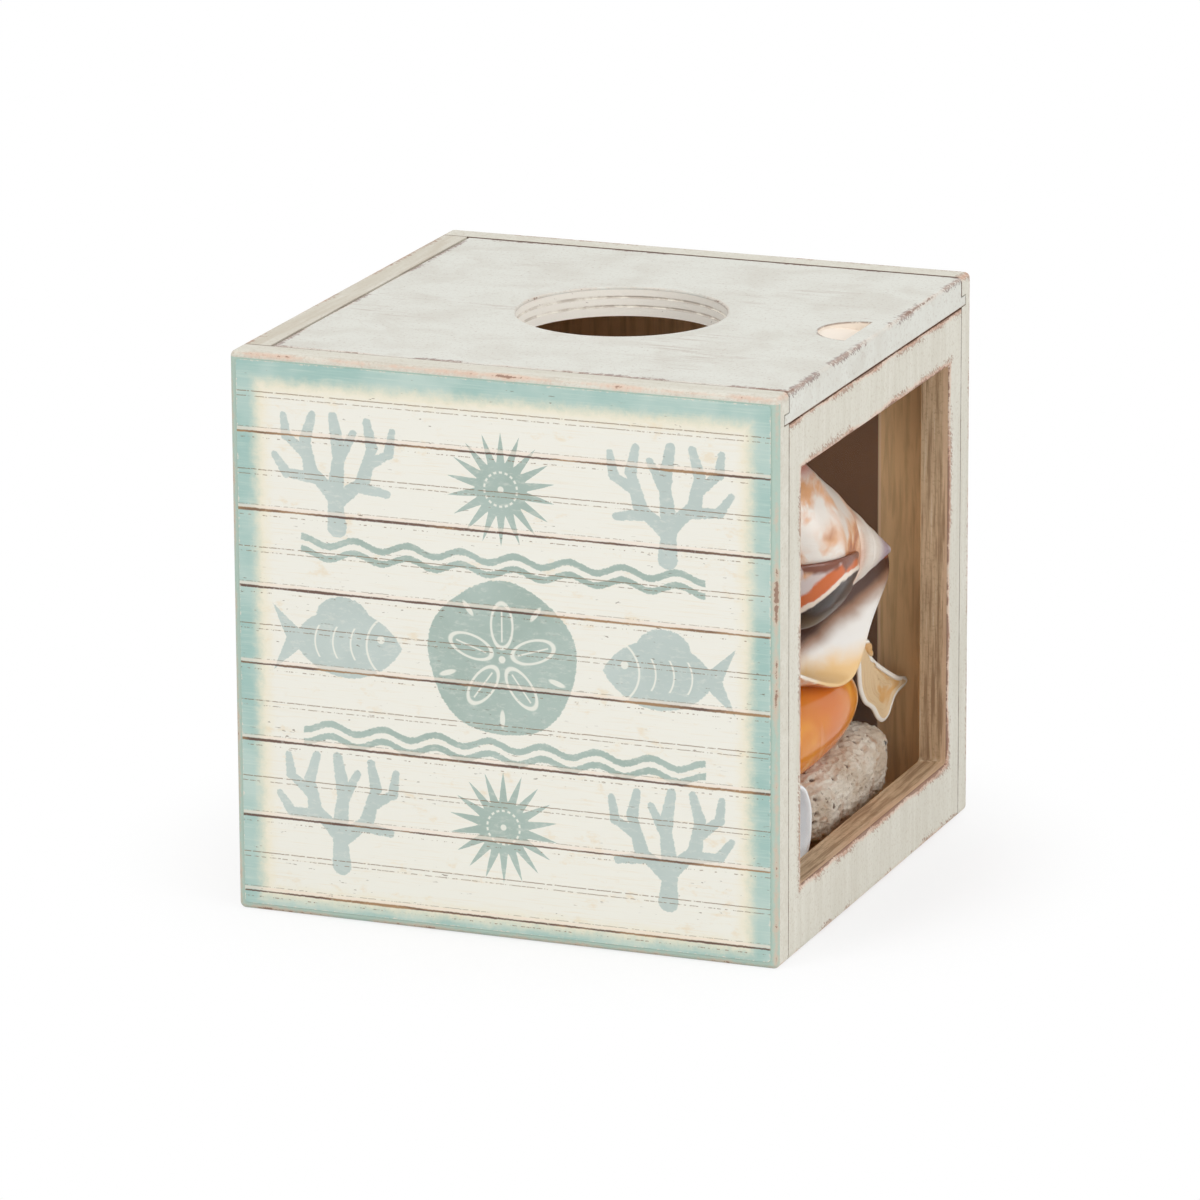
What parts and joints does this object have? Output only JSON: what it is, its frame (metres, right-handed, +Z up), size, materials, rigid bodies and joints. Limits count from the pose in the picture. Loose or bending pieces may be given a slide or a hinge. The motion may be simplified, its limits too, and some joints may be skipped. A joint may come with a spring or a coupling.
{
  "type": "window-front shell collection box with sliding lid",
  "caption": "Cube wooden display box for shells, with a glazed side window and a sliding lid that has a round drop hole and a thumb notch.",
  "frame": {"origin": "centre of the box's footprint, on the surface that it stands on", "axes": "+Z up, -Y the printed front, +X the glazed window side and the way that the lid slides open"},
  "size_m": [0.127, 0.127, 0.127],
  "materials": {
    "whitewashed_wood": "thin worn whitewash on wood, matt, brown and pink along the worn edges",
    "lid_wood": "whitewashed wood with grain along the slide, bare brown in the hole's wall",
    "bare_wood": "bare brown wood, matt",
    "clear_glass": "clear sheet glass, polished",
    "printed_paper": "printed paper, matt, faded teal edge round a cream field",
    "brad_steel": "dull steel",
    "white_shell": "natural shell, satin, white with orange along the mouth",
    "orange_shell": "natural shell, glossy, orange",
    "cream_shell": "natural shell, satin, cream",
    "tan_shell": "natural shell, satin, tan",
    "coral_stone": "rough pitted coral stone, matt"
  },
  "bodies": {
    "box": {"front_panel": "whitewashed_wood", "back_panel": "whitewashed_wood", "left_panel": "whitewashed_wood", "window_frame": "whitewashed_wood", "floor_panel": "bare_wood", "window_pane": "clear_glass", "front_print": "printed_paper", "front_brads": "brad_steel", "back_brads": "brad_steel", "conch_shell": "white_shell", "orange_shell": "orange_shell", "cream_shell": "cream_shell", "clam_shell": "white_shell", "moon_shell": "cream_shell", "auger_shell": "tan_shell", "scallop_shell": "tan_shell", "cone_shell": "tan_shell", "coral_stone": "coral_stone"},
    "lid": {"lid": "lid_wood"}
  },
  "joints": [
    {"name": "lid_slide", "type": "slide", "parent": "box", "child": "lid", "axis": [1, 0, 0], "range_m": [0, 0.12]}
  ]
}
